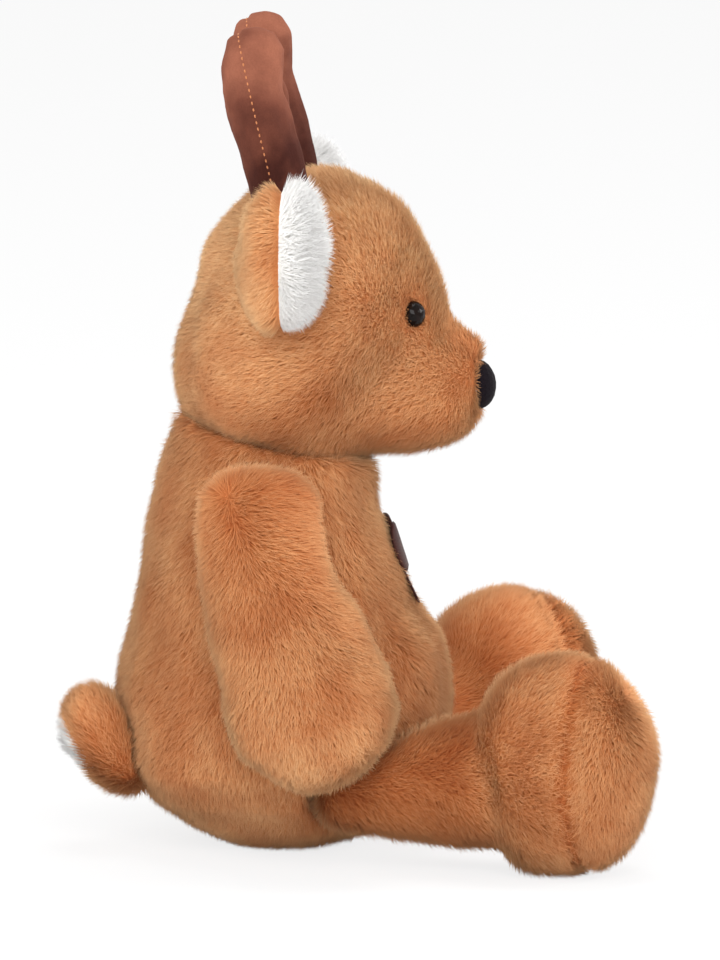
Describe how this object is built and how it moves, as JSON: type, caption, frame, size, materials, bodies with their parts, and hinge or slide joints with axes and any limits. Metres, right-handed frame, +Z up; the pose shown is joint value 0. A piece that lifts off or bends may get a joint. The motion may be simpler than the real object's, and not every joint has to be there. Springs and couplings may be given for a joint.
{
  "type": "plush deer",
  "caption": "Sitting plush deer with a turning head, padded antlers, lined ears, sewn limbs that lift, a short tail and a chest bow.",
  "frame": {"origin": "centre of the bounding box's bottom face, on the surface that the toy sits on", "axes": "+X the way the body faces, +Y the toy's left side, +Z up"},
  "size_m": [0.2176, 0.239, 0.32],
  "materials": {
    "tan_pile": "dense tan fur pile about 9 mm long on a knitted back",
    "white_pile": "long white fur pile",
    "brown_suede": "brushed brown suede cloth with topstitching",
    "polyester_fill": "loose white polyester stuffing",
    "pellet_cloth": "plain cloth bag of plastic pellets",
    "eye_plastic": "glossy black",
    "nose_flock": "short black flock over moulded plastic",
    "washer_plastic": "plain moulded",
    "bow_satin": "dark brown satin ribbon"
  },
  "bodies": {
    "torso": {"body_cover": "tan_pile", "body_stuffing": "polyester_fill", "pellet_bag": "pellet_cloth", "bow_loop_left": "bow_satin", "bow_loop_right": "bow_satin", "bow_ribbon_left": "bow_satin", "bow_ribbon_right": "bow_satin", "bow_knot": "bow_satin"},
    "head": {"head_cover": "tan_pile", "head_stuffing": "polyester_fill", "eye_left": "eye_plastic", "eye_right": "eye_plastic", "eye_washer_left": "washer_plastic", "eye_washer_right": "washer_plastic", "nose": "nose_flock", "nose_washer": "washer_plastic"},
    "arm_left": {"arm_cover_left": "tan_pile", "arm_stuffing_left": "polyester_fill"},
    "arm_right": {"arm_cover_right": "tan_pile", "arm_stuffing_right": "polyester_fill"},
    "leg_left": {"leg_cover_left": "tan_pile", "foot_sole_left": "tan_pile", "leg_stuffing_left": "polyester_fill"},
    "leg_right": {"leg_cover_right": "tan_pile", "foot_sole_right": "tan_pile", "leg_stuffing_right": "polyester_fill"},
    "tail": {"tail_top": "tan_pile", "tail_underside": "white_pile"},
    "ear_left": {"ear_back_left": "tan_pile", "ear_lining_left": "white_pile"},
    "ear_right": {"ear_back_right": "tan_pile", "ear_lining_right": "white_pile"},
    "antler_left": {"antler_front_left": "brown_suede", "antler_back_left": "brown_suede", "antler_stuffing_left": "polyester_fill"},
    "antler_right": {"antler_front_right": "brown_suede", "antler_back_right": "brown_suede", "antler_stuffing_right": "polyester_fill"}
  },
  "joints": [
    {"name": "head_turn", "type": "hinge", "parent": "torso", "child": "head", "pos_m": [-0.02498, 0, 0.159], "axis": [0.2588, 0, 0.9659], "range_deg": [-20, 40], "stiffness_Nm_per_rad": 0.35},
    {"name": "arm_left_lift", "type": "hinge", "parent": "torso", "child": "arm_left", "pos_m": [-0.04098, 0.04471, 0.14731], "axis": [1, 0, 0], "range_deg": [0, 50], "stiffness_Nm_per_rad": 0.06},
    {"name": "arm_right_lift", "type": "hinge", "parent": "torso", "child": "arm_right", "pos_m": [-0.04098, -0.04471, 0.14731], "axis": [-1, 0, 0], "range_deg": [0, 50], "stiffness_Nm_per_rad": 0.06},
    {"name": "leg_left_lift", "type": "hinge", "parent": "torso", "child": "leg_left", "pos_m": [0.00002, 0.05, 0.0285], "axis": [0.4226, -0.9063, 0], "range_deg": [0, 25], "stiffness_Nm_per_rad": 0.12},
    {"name": "leg_right_lift", "type": "hinge", "parent": "torso", "child": "leg_right", "pos_m": [0.00002, -0.05, 0.0285], "axis": [-0.4226, -0.9063, 0], "range_deg": [0, 25], "stiffness_Nm_per_rad": 0.12},
    {"name": "tail_flop", "type": "hinge", "parent": "torso", "child": "tail", "pos_m": [-0.06998, 0, 0.0216], "axis": [0, -1, 0], "range_deg": [0, 30], "stiffness_Nm_per_rad": 0.02},
    {"name": "ear_left_fold", "type": "hinge", "parent": "head", "child": "ear_left", "pos_m": [-0.01213, 0.04652, 0.236], "axis": [0, 0, -1], "range_deg": [-12, 12], "stiffness_Nm_per_rad": 0.02},
    {"name": "ear_right_fold", "type": "hinge", "parent": "head", "child": "ear_right", "pos_m": [-0.02797, -0.04817, 0.236], "axis": [0, 0, 1], "range_deg": [-12, 12], "stiffness_Nm_per_rad": 0.02},
    {"name": "antler_left_bend", "type": "hinge", "parent": "head", "child": "antler_left", "pos_m": [-0.01526, 0.02778, 0.247], "axis": [0.165, 0.9863, 0], "range_deg": [-8, 8], "stiffness_Nm_per_rad": 0.05},
    {"name": "antler_right_bend", "type": "hinge", "parent": "head", "child": "antler_right", "pos_m": [-0.02484, -0.02943, 0.247], "axis": [0.165, 0.9863, 0], "range_deg": [-8, 8], "stiffness_Nm_per_rad": 0.05}
  ]
}
